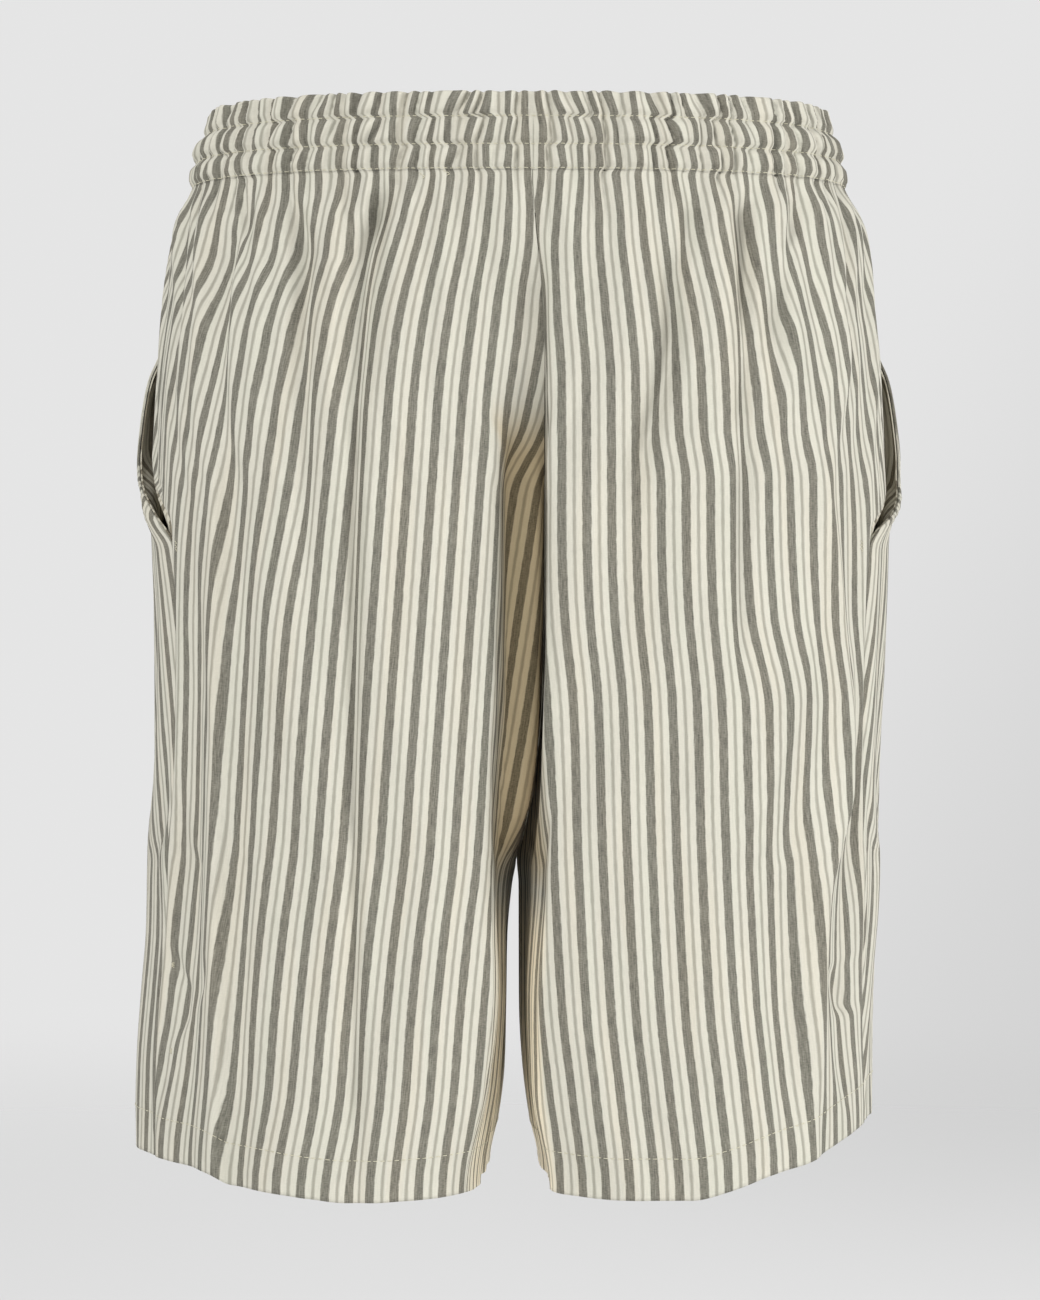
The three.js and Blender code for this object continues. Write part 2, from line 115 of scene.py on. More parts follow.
lamp("key", (-1.5, -2.2, 1.5), (0, 0, -0.22), 0.9, 42)
lamp("right side", (2.6, -0.9, 0.3), (0, 0, -0.25), 1.4, 44)
lamp("light off the floor", (0.1, -1.2, -0.93), (0, 0, -0.3), 1.4, 9)
lamp("light off the floor behind", (0, 0.8, -0.93), (0, 0, -0.35), 1.2, 10)
lamp("back of the room", (0.4, 2.6, 1.5), (0, 0, -0.2), 2.0, 16)

CAMERA_Z = -0.213
PICTURE_TALL, MOVED_DOWN = 1300, 50  # in pixels: the picture, and how far its view is moved
camera = bpy.data.objects.new("camera", bpy.data.cameras.new("camera"))
camera.location = (0.001, -1.8, CAMERA_Z)
camera.rotation_euler = (math.radians(90), 0, 0)
camera.data.lens = 103.8
camera.data.shift_y = -MOVED_DOWN / PICTURE_TALL
scene.collection.objects.link(camera)
scene.camera = camera

# The back panels: the two large pieces that make the seat and the backs of the legs, in a light
# plain-weave cotton with woven stripes. They are cut straight on the stripe, gathered into the
# waist, joined in the deep fold of the seat seam, and turned up at the hem.
RIM_Z, BAND_Z, HEM_Z = 17.5, -17.5, -485
HEM_DEPTH = 18.5
HEM_TOP = HEM_Z + HEM_DEPTH
SEAM = 0.3  # room left at a seam; at the middle seams the tables add as much again
CLOTH, HEM_CLOTH = 0.8, 1.9
LEG_X, SIDE_Y = 77, 5  # the middle of a leg's section
WAIST_SQUARE, LEG_SQUARE = 2.6, 2.3  # 2 is an ellipse, more is squarer
CORNER = 3  # how far the corners of a leg's section are rounded
STRIPE = 11.1  # one repeat of the stripe, across the cloth
SHADED, LIT = 1.3, 0.85  # a fold's shaded wall is flat and its lit one steep

# Where the cloth runs at each height: z, |x| of the widest point, depth of the back and of the
# front, y of the side seam, |x| where the back and front panels start, and y there.
COLUMNS = ("z", "side", "back", "front", "seam", "innerB", "innerF", "valleyB", "valleyF")
LEFT = (
    (17.5, 144.5, -98, 96, -5, -10, 0, -92, 92),
    (0, 151.5, -99.5, 97, -5, -10, 0, -92, 92),
    (-17.5, 154.5, -101, 98, -5, -10, 0, -95, 92),
    (-40, 162.5, -106, 100, -6, -11, 0, -99, 94),
    (-70, 168, -112, 103, -7, -12, 0, -98, 95),
    (-100, 172, -116.5, 105, -9, -12.2, 0, -104, 93),
    (-143, 174, -120, 106, -14, -12.2, 0, -91, 89),
    (-154, 174.3, -120.4, 106, -26, -12.2, 0, -87, 87),
    (-166, 174.7, -120.8, 106, -54, -12.2, 0, -82, 85),
    (-180, 175, -121, 106, -71, -12.2, 0, -80, 83),
    (-215, 174, -120, 105, -72, -12, 0, -72, 75),
    (-260, 173.6, -118, 103, -70, -11, 0.2, -56, 56),
    (-300, 174, -115, 102, -66, -7, 0.4, -35, 33),
    (-325, 175.3, -113, 101, -62, -2.4, 0.6, -15, 11),
    (-338, 175.6, -112.5, 101, -61, 0.85, 0.85, -3.15, -2.85),
    (-350, 175.8, -112, 100.5, -61, 2.8, 2.8, -3.15, -2.85),
    (-375, 176.3, -112, 100, -60, 5, 5, -3.15, -2.85),
    (-410, 178.8, -112, 100, -58, 5.6, 5.6, -3.15, -2.85),
    (-440, 181, -112, 100, -59, 6.4, 6.4, -3.15, -2.85),
    (-462, 182, -111, 100, -60, 9, 9, -3.15, -2.85),
    (-485, 182.4, -110, 100, -60, 13.4, 13.4, -3.15, -2.85),
)
RIGHT = (
    (17.5, 145.5, -98, 96, -5, 10.3, 0.3, -92, 92),
    (0, 152, -99.5, 97, -5, 10.3, 0.3, -92, 92),
    (-17.5, 155, -101, 98, -5, 10.3, 0.3, -95, 92),
    (-40, 164, -106, 100, -6, 11.3, 0.3, -99, 94),
    (-70, 169, -112, 103, -8, 12.3, 0.3, -98, 95),
    (-100, 172.5, -116.5, 105, -12, 12.5, 0.3, -104, 93),
    (-143, 174.6, -120.5, 106, -16, 12.5, 0.3, -91, 89),
    (-158, 175.6, -121, 106, -21, 12.5, 0.3, -86, 87),
    (-169, 176.3, -121.3, 106, -42, 12.5, 0.3, -82, 85),
    (-180, 176.6, -121.5, 106, -66, 12.5, 0.3, -80, 83),
    (-215, 176, -120.5, 105, -70, 12.3, 0.3, -72, 75),
    (-260, 174, -119, 103, -68, 11.3, 0.1, -56, 56),
    (-300, 172, -117, 102, -62, 7.3, -0.1, -35, 33),
    (-325, 171.8, -116, 101, -60, 2.7, -0.3, -15, 11),
    (-338, 172.2, -115, 101, -59, -0.55, -0.55, -3.15, -2.85),
    (-350, 172.3, -114, 100.5, -58, 0.3, 0.3, -3.15, -2.85),
    (-375, 171.8, -113, 100, -57, 0.4, 0.4, -3.15, -2.85),
    (-410, 170, -113, 100, -54, 0.6, 0.6, -3.15, -2.85),
    (-440, 168.9, -112, 100, -50, 2.2, 2.2, -3.15, -2.85),
    (-462, 168.6, -111, 100, -46, 5, 5, -3.15, -2.85),
    (-485, 168.4, -110, 100, -43, 9.6, 9.6, -3.15, -2.85),
)
# The edge of the seat fold, where the cloth turns in: z, |x|, how far it lies in front of the
# panel's depth. The left leg's turns in slanting and the right leg's stands like a lip.
TURN = {
    "left": ((-100, 12, 6), (-128, 14, 7), (-145, 9.6, 7), (-258, 9.4, 7), (-325, 11.4, 9),
             (-392, 8, 10), (-437, 11.5, 14), (-485, 20, 20)),
    "right": ((-100, 14, 3), (-140, 13.4, 3), (-330, 13.4, 4), (-400, 8, 8), (-440, 9, 12),
              (-485, 17, 18)),
}
# The largest folds of each panel, from the top down: z, |x| of the crease, half width, how far
# it sinks, and how much cloth is tucked away in it. A negative sink is a ridge.
FOLDS = {
    "back_left": (
        ((-17, 55, 6, 0, 0), (-34, 61, 6, 8, 3), (-49, 66, 6, 11, 9), (-60, 68, 6, 11, 12),
         (-92, 69, 6, 10, 12), (-132, 71, 4.6, 8, 9), (-230, 72.5, 3.4, 6, 6),
         (-330, 72.5, 3.2, 4.6, 5),
         (-440, 72, 3.6, 3.6, 4), (-485, 72, 5, 1.6, 2)),
        ((-17, 104.5, 5, 0, 0), (-40, 100, 5, 7.5, 4), (-55, 96.5, 5, 7.5, 6), (-90, 95.6, 5, 6, 6),
         (-160, 94, 5, 3.4, 5), (-230, 96, 6, 0, 0)),
        ((-17, 77, 4, 0, 0), (-32, 78, 5, 3, 2), (-52, 79, 6, 0, 0)),
        ((-17, 126, 5, 0, 0), (-40, 126, 5, 5, 3), (-52, 130, 5, 5, 4), (-75, 136, 5, 4.4, 5),
         (-110, 135, 6, 3, 4), (-160, 130, 8, 2.5, 2), (-230, 127, 9, 3.4, 2), (-330, 126, 9, 4, 3),
         (-440, 127, 9, 4.4, 3), (-485, 128, 9, 4, 3)),
        ((-110, 137, 4, 0, 0), (-170, 137, 3.6, -3.2, 0), (-330, 137, 3.6, -4, 0),
         (-485, 137, 4, -5, 0)),
        ((-170, 147, 6, 0, 0), (-260, 149, 7, 4.4, 3), (-400, 151, 7, 5.8, 4), (-485, 154, 8, 4.5, 3)),
        ((-370, 165, 3, 0, 0), (-392, 160, 3, 2, 1), (-402, 157, 3, 2.6, 1), (-414, 157, 3, 2.4, 1),
         (-434, 162, 3, 0, 0)),
        ((-378, 143, 3, 0, 0), (-396, 146, 3, 1.8, 0), (-412, 150, 3, 0, 0)),
        ((-120, 40, 16, 0, 0), (-190, 42, 16, -1.6, 0), (-330, 40, 16, -1.8, 0), (-485, 40, 16, -1, 0)),
    ),
    "back_right": (
        ((-17, 108, 5, 0, 0), (-40, 104, 5, 8, 4), (-60, 103.7, 5, 8.4, 7), (-91, 102.6, 5, 7.4, 8),
         (-140, 101.4, 4.4, 4.4, 7), (-220, 99.5, 4, 3.4, 5), (-262, 99, 6, 0, 0)),
        ((-17, 79.5, 6, 0, 0), (-46, 77, 5.5, 7, 3), (-66, 71.8, 6, 8, 4), (-88, 70, 6.5, 8, 4),
         (-136, 59.5, 7, 6.5, 3), (-160, 52, 9, 4, 0), (-190, 46, 12, 0, 0)),
        ((-17, 130, 5, 0, 0), (-52, 124, 5, 6.4, 3), (-78, 119.6, 5.5, 6, 4), (-92, 117, 6, 5, 3),
         (-125, 114, 9, 0, 0)),
        ((-90, 128, 8, 0, 0), (-190, 143, 5, -4, 0), (-268, 151, 5, -5, 0), (-300, 150, 5, -5, 0),
         (-356, 139, 5, -4.6, 0), (-437, 136, 5, -4, 0), (-485, 136, 6, -3.6, 0)),
        ((-180, 154, 6, 0, 0), (-290, 160, 6, 5.5, 3), (-370, 152, 6, 5.5, 3), (-440, 150, 7, 4, 3),
         (-485, 148, 8, 2.7, 2)),
        ((-230, 122, 9, 0, 0), (-320, 124, 9, 3.4, 1), (-400, 122, 9, 3.4, 1), (-485, 121, 9, 2, 1)),
        ((-392, 146, 3, 0, 0), (-400, 147.5, 3, 2, 1), (-419, 152.6, 3, 2.6, 1), (-429, 156, 3, 0, 0)),
        ((-120, 34, 16, 0, 0), (-200, 40, 16, -1.6, 0), (-330, 44, 16, -1.8, 0), (-485, 44, 16, -1, 0)),
    ),
    "front_left": (
        ((-17, 40, 6, 0, 0), (-60, 44, 7, 6, 6), (-130, 48, 8, 4.4, 5), (-200, 50, 10, 0, 0)),
        ((-17, 88, 6, 0, 0), (-60, 85, 7, 6, 7), (-150, 80, 8, 4.4, 6), (-300, 78, 9, 3, 4),
         (-485, 78, 10, 2.7, 3)),
        ((-17, 126, 6, 0, 0), (-60, 122, 7, 5, 4), (-150, 118, 8, 3.6, 3), (-230, 116, 10, 0, 0)),
        ((-230, 130, 10, 0, 0), (-330, 132, 9, 4.4, 2), (-485, 134, 9, 4.4, 2)),
    ),
    "front_right": (
        ((-17, 44, 6, 0, 0), (-60, 41, 7, 5, 5), (-130, 38, 8, 4.4, 4), (-190, 36, 10, 0, 0)),
        ((-17, 92, 6, 0, 0), (-60, 95, 7, 6, 7), (-150, 97, 8, 4.4, 6), (-300, 94, 9, 3.6, 4),
         (-485, 92, 10, 2.7, 3)),
        ((-17, 130, 6, 0, 0), (-60, 127, 7, 5, 4), (-140, 124, 8, 3, 3), (-220, 122, 10, 0, 0)),
        ((-250, 60, 11, 0, 0), (-360, 58, 10, 3.6, 2), (-485, 56, 10, 3.6, 2)),
    ),
}
# How far the front panel's pocket edge bows outward, by height.
POCKET_BOW = ((-92, 0), (-107, 5.2), (-117, 7.2), (-131, 8.8), (-143, 9.5), (-155, 8.6),
              (-165, 8.2), (-175, 7.2), (-181, 4), (-186, 0.8), (-190, 0))
# How far the hem rises above its lowest point, by |x|.
HEM_LIFT = {
    "back_left": ((0, 4), (20, 3), (45, 1), (77, 0), (94, 1.5), (112, 4), (131, 6), (140, 10.5),
                  (160, 13), (183, 15)),
    "back_right": ((0, 4), (20, 2.5), (45, 1), (77, 1), (96, 5), (114, 11), (134, 16), (144, 20),
                   (155, 25), (170, 29)),
    "front_left": ((0, 4), (30, 4), (77, 5), (130, 9), (183, 15)),
    "front_right": ((0, 4), (30, 4), (77, 6), (130, 16), (170, 29)),
}
# How much wider the cloth is than what it covers: most in the waist, none from the hips down.
GATHER = ((17.5, 1.3), (-17.5, 1.28), (-40, 1.16), (-60, 1.07), (-95, 1.0), (-200, 1.0))
# Where one dark stripe of each leg runs, from the waist to the hem: z, |x|. They fan outward.
STRIPE_AT = {
    "left": ((17.5, 22.5), (-20, 21.6), (-47, 24.2), (-78, 30.1), (-114, 35), (-150, 37.7),
             (-222, 43.1), (-294, 48.5), (-330, 51.2), (-366, 55.7), (-402, 59.3), (-438, 62),
             (-485, 67)),
    "right": ((17.5, 34.6), (0, 36.8), (-47, 36.8), (-78, 39.1), (-114, 41.8), (-186, 42.2),
              (-222, 43.6), (-258, 47.1), (-330, 49.4), (-402, 53.4), (-438, 57.5), (-485, 62)),
}
STEP_IN = 20  # how deep the left leg's turned-in cloth steps before it runs across
WALL_SLANT = (-150, 0.09)  # below this height its stripes slant, by this much
UPRIGHT = ((0.27, 36), (0.5, 86), (0.73, 134))  # share of a panel's columns up to this |x|
SEED = {"back_left": 11, "back_right": 23, "front_left": 37, "front_right": 41}


def smooth(low, high, x):
    t = np.clip((x - low) / (high - low), 0, 1)
    return t * t * (3 - 2 * t)


def read(rows, at, column=1):
    """Reads a column of rows that are sorted by their first number, with a smooth curve between."""
    table = np.array(rows, float)
    if table[0, 0] > table[-1, 0]:
        table = table[::-1]
    x, y = table[:, 0], table[:, column]
    step, rise = np.diff(x), np.diff(y)
    slope = np.zeros(len(x))
    if len(x) > 2:
        mean = (y[2:] - y[:-2]) / (x[2:] - x[:-2])
        most = 2 * np.minimum(abs(rise[:-1] / step[:-1]), abs(rise[1:] / step[1:]))
        slope[1:-1] = np.where(rise[:-1] * rise[1:] > 0,
                               np.sign(mean) * np.minimum(abs(mean), most), 0)
    at = np.clip(at, x[0], x[-1])
    i = np.clip(np.searchsorted(x, at, side="right") - 1, 0, len(x) - 2)
    u = (at - x[i]) / step[i]
    return (y[i] * (2 * u**3 - 3 * u**2 + 1) + y[i + 1] * (3 * u**2 - 2 * u**3)
            + slope[i] * step[i] * (u**3 - 2 * u**2 + u) + slope[i + 1] * step[i] * (u**3 - u**2))


def arc(cx, cy, a, b, square, start, stop, steps=300):
    """Points of a rounded oval about (cx, cy) between two angles in degrees."""
    w = np.radians(np.linspace(start, stop, steps + 1))
    r = ((abs(np.cos(w)) / a) ** square + (abs(np.sin(w)) / b) ** square) ** (-1 / square)
    return np.stack([cx + r * np.cos(w), cy + r * np.sin(w)], 1)


def until(points, y):
    """Keeps a curve's points up to where it first crosses y."""
    beyond = np.nonzero(np.sign(points[:, 1] - y) != np.sign(points[0, 1] - y))[0]
    if not len(beyond) or beyond[0] < 1:
        return points
    p, q = points[beyond[0] - 1], points[beyond[0]]
    u = (y - p[1]) / (q[1] - p[1])
    return np.vstack([points[:beyond[0]], [p[0] + (q[0] - p[0]) * u, y]])


def along(points):
    return np.concatenate([[0], np.cumsum(np.hypot(*np.diff(points, axis=0).T))])


def softened(points, radius):
    """The same curve at even steps of about a millimetre, with its corners rounded."""
    reach = along(points)
    steps = int(reach[-1])
    at = np.linspace(0, reach[-1], steps + 1)
    fine = np.stack([np.interp(at, reach, points[:, k]) for k in (0, 1)], 1)
    pad = 4 * radius
    padded = np.vstack([2 * fine[0] - fine[pad:0:-1], fine, 2 * fine[-1] - fine[-2:-pad - 2:-1]])
    weight = np.exp(-0.5 * (np.arange(-pad, pad + 1) / radius) ** 2)
    weight /= weight.sum()
    return np.stack([np.convolve(padded[:, k], weight, "valid") for k in (0, 1)], 1)


def section(name, z):
    """The panel's run at a height, from the middle seam to the side seam: one round the waist,
    one round a leg with the deep fold at the middle, and how much of the second it has."""
    side = name.split("_")[1]
    rows = LEFT if side == "left" else RIGHT
    v = {c: float(read(rows, z, k)) if k else z for k, c in enumerate(COLUMNS)}
    back = name.startswith("back")
    letter, depth, turn = ("B", v["back"], -1) if back else ("F", v["front"], 1)
    inner, valley = v["inner" + letter], v["valley" + letter]
    start = math.degrees(math.acos(inner / v["side"]))
    oval = arc(0, 0, v["side"], abs(depth), WAIST_SQUARE, turn * start, 0)
    leg = arc(LEG_X, SIDE_Y, v["side"] - LEG_X, abs(depth - SIDE_Y), LEG_SQUARE, turn * 90, 0)
    if back:
        lip, before = (float(read(TURN[side], z, k)) for k in (1, 2))
        lip = max(lip, inner + 1)
        edge_y = min(depth + before, valley - 1)
        corner = arc(LEG_X, edge_y, LEG_X - lip, max(1, edge_y - depth), 2.2, 180, 270, 160)
        wall = np.linspace([inner, valley], corner[0], 40)[:-1]
        if side == "left":
            step_y = min(edge_y + STEP_IN, valley - 4)
            bends = np.array([[inner, valley], [inner + 1, step_y + 3], [lip - 2, step_y], corner[0]])
            reach = along(bends)
            at = np.linspace(0, reach[-1], 80)
            stepped = np.stack([np.interp(at, reach, bends[:, k]) for k in (0, 1)], 1)[:-1]
            straight = np.linspace([inner, valley], corner[0], 80)[:-1]
            part = float(smooth(-128, -165, z) * smooth(-350, -300, z))
            wall = straight * (1 - part) + stepped * part
        inside = np.vstack([wall, corner[:-1]])
    else:
        inside = arc(LEG_X, valley, LEG_X - inner, max(1, abs(depth - valley)), 3.2, 180, 90,
                     200)[:-1]
        oval = np.vstack([oval, arc(0, 0, v["side"], abs(v["back"]), WAIST_SQUARE, -0.5, -30, 60)])
        leg = np.vstack([leg, arc(LEG_X, SIDE_Y, v["side"] - LEG_X, abs(v["back"] - SIDE_Y),
                                  LEG_SQUARE, -2, -60, 90)])
    leg = softened(np.vstack([inside, until(leg, v["seam"])]), CORNER)
    return until(oval, v["seam"]), leg, float(smooth(BAND_Z, -100, z))


def ripple(seed, at, lengths, size):
    """An uneven wave along the cloth, the same each run."""
    phases = np.random.default_rng(seed).uniform(0, 2 * np.pi, len(lengths))
    waves = sum(np.sin(2 * np.pi * at / w + p) for w, p in zip(lengths, phases))
    return size * waves / math.sqrt(len(lengths))


ROWS = (7, -5.9, BAND_Z)  # heights of the elastic's three stitch rows
KINK = 1.2  # how far above and below a stitch row the stripes have turned
PUCKER = 8.7  # the usual width of one pucker


def lean(name, at, z):
    """How far the gathered stripes stand aside, in millimetres: they lean in each channel of the
    waistband and kink back at its stitch rows."""
    seed = 10 * SEED[name]
    spots = ((RIM_Z, 2.4), (ROWS[0] + KINK, -1.2), (ROWS[0] - KINK, 1.6), (ROWS[1] + KINK, -1.5),
             (ROWS[1] - KINK, 1.0), (BAND_Z + KINK, -0.8), (BAND_Z - 2, 0.4), (-38, 0))
    side = -1 if name.endswith("left") else -0.8
    shifts = [side * part * (1 + ripple(seed + k, at, (23, 37, 61), 1.0))
              + ripple(seed + k // 2, at, (19, 31, 53), 1.2) * (k < 7)
              for k, (_, part) in enumerate(spots)]
    shifts = [shift * smooth(0, 14, at) for shift in shifts]
    for k in range(len(spots) - 1):
        above, below = spots[k][0], spots[k + 1][0]
        if z >= below:
            u = min(1, max(0, (above - z) / (above - below)))
            return shifts[k] * (1 - u) + shifts[k + 1] * u
    return 0 * at


def puckers(name, at, length, z):
    """The elastic's fine puckers, in millimetres outward: round ridges with sharp valleys."""
    seed = 10 * SEED[name]
    phase = np.pi * (at - lean(name, at, z)) / PUCKER + ripple(seed + 6, at, (29, 43, 71), 0.9)
    ridge = 2 * abs(np.sin(phase)) ** 0.8 - 1.2
    uneven = 1 + 0.35 * ripple(seed + 7, at, (17, 27, 44), 1)
    held = max(math.exp(-(((z - row) / 2.2) ** 2)) for row in ROWS)
    below = min(0, z - BAND_Z)
    depth = 2.1 - 0.9 * held if z > BAND_Z else 1.2 * math.exp(-((below / 24) ** 2))
    calm = smooth(0, 5, at) * smooth(0, 5, length - at)
    return depth * ridge * uneven * calm + (1.7 * (1 - held) if z > BAND_Z else 0)


def swells(name, share, z):
    """The fullness just below the waist, in millimetres outward."""
    turn = 2 * np.pi * share
    below = min(0, z - BAND_Z)
    u = SEED[name] / 7
    soft = np.sin(6 * turn + 1.1 * np.sin(turn) * math.cos(u)) * (
        1 + 0.4 * np.sin(turn * 2.3 + 2 * u) * np.sin(np.pi * share))
    swell = 1.6 * smooth(0, -14, below) * smooth(-70, -14, below)
    return swell + 1.3 * smooth(0, -22, below) * smooth(-120, -45, below) * soft


def fold_lines(name, z):
    for rows in FOLDS[name]:
        if rows[-1][0] <= z <= rows[0][0]:
            yield [float(read(rows, z, k)) for k in (1, 2, 3, 4)]


def row_of(name, z, shares):
    """One row of a panel: its points, where each lies on the cloth, across from the dark stripe
    that runs down the leg, the way outward, the fine relief, and its painted shade and light:
    0 for browner painted shade in the seat fold, 0.5 for none, 1 for painted light between the legs."""
    side = name.split("_")[1]
    oval, leg, mix = section(name, z)
    (oval_at, leg_at) = (along(oval), along(leg))
    length = oval_at[-1] * (1 - mix) + leg_at[-1] * mix
    trim = SEAM / 2 / length

    def plain(share):
        share = np.clip(share, 0, 1)
        return sum(part * np.stack([np.interp(share * reach[-1], reach, curve[:, k])
                                    for k in (0, 1)], 1)
                   for part, curve, reach in ((1 - mix, oval, oval_at), (mix, leg, leg_at)))

    tries = np.linspace(0, 1, 400)
    reached = np.maximum.accumulate(plain(tries)[:, 0])
    upright = [(column, np.interp(x, reached, tries)) for column, x in UPRIGHT]
    s = trim + read(((0, 0), *upright, (1, 1)), shares) * (1 - 2 * trim)
    p = plain(s)
    across = plain(s + 0.004) - plain(s - 0.004)
    across /= np.hypot(*across.T)[:, None]
    turn = 1 if name.startswith("back") else -1
    out = turn * np.stack([across[:, 1], -across[:, 0]], 1)
    at = s * length
    calm = smooth(0, 9 + 24 * mix, at) * smooth(0, 9, length - at)
    sunk, tucked = 0 * at, 0 * at
    away = 1 if name in ("back_left", "front_right") else -1
    if z < BAND_Z:
        for x, wide, sink, take in fold_lines(name, z):
            off = p[:, 0] - x
            t = off / (wide * np.where(off * away > 0, SHADED, LIT))
            sunk -= sink * np.exp(-(abs(t) ** 1.7))
            tucked += take * 0.5 * (1 + np.tanh(2.2 * off / wide))
        seed = 10 * SEED[name]
        sunk += ripple(seed + 8, at + 0.12 * z, (38, 57, 91), 1.1) * smooth(-40, -120, z)
        gathers = ripple(seed + 9, at + 0.1 * (z + 40), (12.5, 17, 26), 1.3)
        sunk += gathers * smooth(BAND_Z, -34, z) * (0.18 + 0.82 * smooth(-190, -40, z))
    # The side seam pinches in all the way down, the middle seam only just under the waistband.
    flat_seam = 1 - float(smooth(BAND_Z, -40, z))
    sewn = flat_seam * np.exp(-((at / 1.6) ** 2)) + np.exp(-(((length - at) / 1.6) ** 2))
    broad = calm * (swells(name, s, z) + sunk) - 0.7 * sewn
    flat = p + out * broad[:, None]
    widest = int(np.argmax(p[:, 0]))
    down_leg = np.interp(float(read(STRIPE_AT[side], z)), p[:widest + 1, 0], np.arange(widest + 1))
    column = np.arange(len(p))
    u = (at - np.interp(down_leg, column, at)) * float(read(GATHER, z))
    u += tucked - np.interp(down_leg, column, tucked) - lean(name, at, z)
    lip = float(read(TURN[side], z))
    low = float(smooth(-320, -375, z))
    # inside is 1 on cloth turned into the seat fold; it slants the stripes there, and then becomes the
    # painted shade and light
    inside = 1 - smooth(lip - 3.5 + 2 * low, lip + 0.5 + 3 * low, p[:, 0])
    inside = inside * name.startswith("back")
    if side == "left":
        u -= WALL_SLANT[1] * max(0, WALL_SLANT[0] - z) * inside
    # from here inside is painted shade and light for the cloth's colour: 0 browner painted shade in the
    # seat fold, 0.5 none, 1 painted light between the legs
    inside = 0.5 + 0.5 * inside * (low - float(smooth(-118, -150, z)) * (1 - low))
    fine = puckers(name, at, length, z)
    p = flat + out * fine[:, None]
    if name.startswith("front") and POCKET_BOW[-1][0] < z < POCKET_BOW[0][0]:
        bow = float(read(POCKET_BOW, z))
        p[:, 0] += bow * np.exp(-(((length - at) / 30) ** 2))
        p[:, 1] += 1.2 * bow * np.exp(-(((length - at) / 20) ** 2))
    lift = read(HEM_LIFT[name], np.maximum(0, p[:, 0])) * float(smooth(-300, -450, z))
    if z > 0:
        lift = lift + 0.12 * (fine + 3) * float(smooth(8, RIM_Z, z))
    sign = -1 if side == "left" else 1
    outward = np.column_stack([sign * out[:, 0], out[:, 1], 0 * u])
    return (np.column_stack([sign * p[:, 0], p[:, 1], z + lift]), np.column_stack([u, lift + z]),
            outward, fine, inside)


def normals_of(grid, around=False):
    """Unit normals of a grid of points, out of the side that its rows and columns turn to."""
    if around:
        wide = np.concatenate([grid[:, -1:], grid, grid[:, :1]], 1)
        across = wide[:, 2:] - wide[:, :-2]
    else:
        across = np.gradient(grid, axis=1)
    n = np.cross(across, np.gradient(grid, axis=0))
    return n / np.linalg.norm(n, axis=2, keepdims=True)


def shell(name, outer, inner, cloth_map, around=False, inside=0.5):
    """A closed mesh between two grids of points, in millimetres, with the cloth's own map."""
    rows, columns = outer.shape[:2]
    number = np.arange(rows * columns).reshape(rows, columns)
    if around:
        number = np.hstack([number, number[:, :1]])
    a, b, c, d = number[:-1, :-1], number[:-1, 1:], number[1:, 1:], number[1:, :-1]
    skin = np.stack([a, b, c, d], -1).reshape(-1, 4)
    count = rows * columns
    faces = [skin, skin[:, ::-1] + count]
    rims = [number[0], number[-1][::-1]]
    if not around:
        rims += [number[::-1, 0], number[:, -1]]
    for rim in rims:
        faces.append(np.stack([rim[:-1], rim[:-1] + count, rim[1:] + count, rim[1:]], -1))
    faces = np.vstack(faces)
    points = np.vstack([outer.reshape(-1, 3), inner.reshape(-1, 3)]) * MM
    mesh = bpy.data.meshes.new(name)
    mesh.from_pydata(points.tolist(), [], faces.tolist())
    spots = np.tile(cloth_map.reshape(-1, 2), (2, 1))
    mesh.uv_layers.new(name="cloth").data.foreach_set("uv", spots[faces.ravel()].ravel())
    mesh.polygons.foreach_set("use_smooth", np.arange(len(faces)) < 2 * len(skin))
    # the painted shade and light of each point, which the cloth's colour is multiplied by
    painted_fold_tone = mesh.attributes.new("painted fold shade and light", "FLOAT", "POINT")
    painted_fold_tone.data.foreach_set("value", np.resize(np.ravel(inside), 2 * count))
    form = bmesh.new()
    form.from_mesh(mesh)
    bmesh.ops.recalc_face_normals(form, faces=form.faces)
    form.to_mesh(mesh)
    form.free()
    piece = bpy.data.objects.new(name, mesh)
    scene.collection.objects.link(piece)
    return piece


# Painted shade and light on cloth turned inside: browner painted shade in the seat fold, none at 0.5,
# and painted light between the legs.
PAINTED_FOLD_SHADE_AND_LIGHT = ((0, (0.88, 0.745, 0.555)), (0.5, (1, 1, 1)), (1, (1.6, 1.49, 1.34)))


